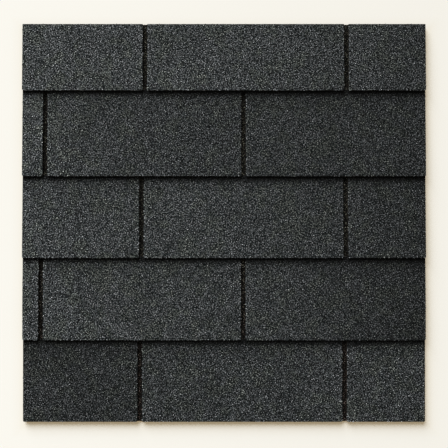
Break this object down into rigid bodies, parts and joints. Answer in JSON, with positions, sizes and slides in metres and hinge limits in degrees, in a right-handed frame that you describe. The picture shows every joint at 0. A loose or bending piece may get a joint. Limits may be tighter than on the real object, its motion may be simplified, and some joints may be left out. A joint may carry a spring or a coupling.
{
  "type": "laid asphalt shingle panel",
  "caption": "Flat square panel of overlapping slotted asphalt shingle strips, laid with staggered slots over a starter strip, as a sample of weatherproof roof covering.",
  "frame": {"origin": "on the ground below the middle of the trimmed panel", "axes": "+X along the courses to the right, +Y up the roof from the first course to the last, +Z out of the granule face"},
  "size_m": [0.61, 0.603, 0.012],
  "materials": {
    "granules": "matte",
    "starter_granules": "matte"
  },
  "bodies": {
    "root": {"starter_strip": "starter_granules", "course_1_strip": "granules", "course_2_strip": "granules", "course_3_strip": "granules", "course_4_strip": "granules", "course_5_tab_1": "granules", "course_5_tab_2": "granules", "course_5_tab_3": "granules"}
  },
  "joints": []
}
